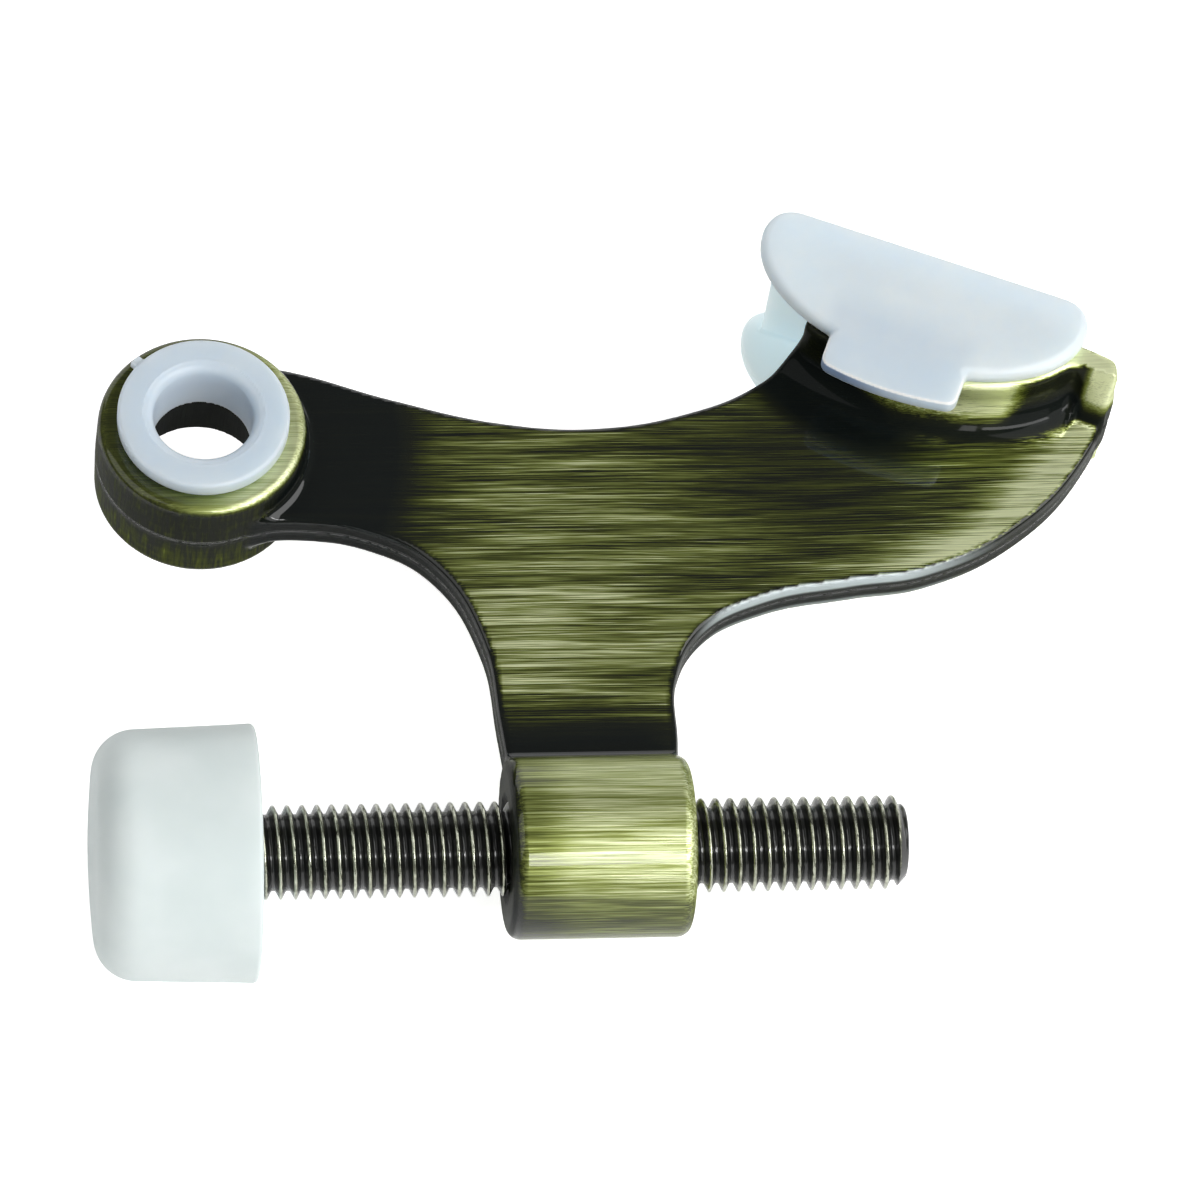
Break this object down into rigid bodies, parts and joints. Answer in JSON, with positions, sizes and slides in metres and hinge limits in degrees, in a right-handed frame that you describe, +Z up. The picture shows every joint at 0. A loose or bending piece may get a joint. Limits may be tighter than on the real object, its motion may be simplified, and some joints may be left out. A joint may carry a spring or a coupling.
{
  "type": "hinge pin door stop",
  "caption": "Hinge-pin door stop: cast antique-brass body with an eye for the hinge pin, an adjustable threaded stud with a soft bumper, and a clip-on pad on its wing.",
  "frame": {"origin": "on the axis of the eye that the door's hinge pin passes through, half way up the eye", "axes": "+Z up along the hinge pin, +X along the stud away from its bumper, +Y from the stud towards the eye"},
  "size_m": [0.091, 0.0691, 0.0218],
  "materials": {
    "antique_brass": "antique patina, brushed and lacquered",
    "dark_antique_brass": "dark antique patina, worn bright on the thread's crests",
    "nylon": "natural nylon, translucent, satin",
    "white_rubber": "white, satin"
  },
  "bodies": {
    "casting": {"body_casting": "antique_brass", "pin_bush": "nylon", "fixed_pad": "nylon"},
    "bumper": {"stud_bumper": "white_rubber"},
    "stud": {"adjusting_stud": "dark_antique_brass"}
  },
  "joints": [
    {"name": "stud_travel", "type": "slide", "parent": "casting", "child": "bumper", "axis": [1, 0, 0], "range_m": [-0.016, 0.0195]},
    {"name": "stud_spin", "type": "hinge", "parent": "bumper", "child": "stud", "pos_m": [0, -0.0391, 0], "axis": [1, 0, 0], "range_deg": [-4600, 5600]}
  ],
  "couplings": [
    {"joint": "stud_travel", "follows": "stud_spin", "m_per_rad": 0.00019894}
  ]
}
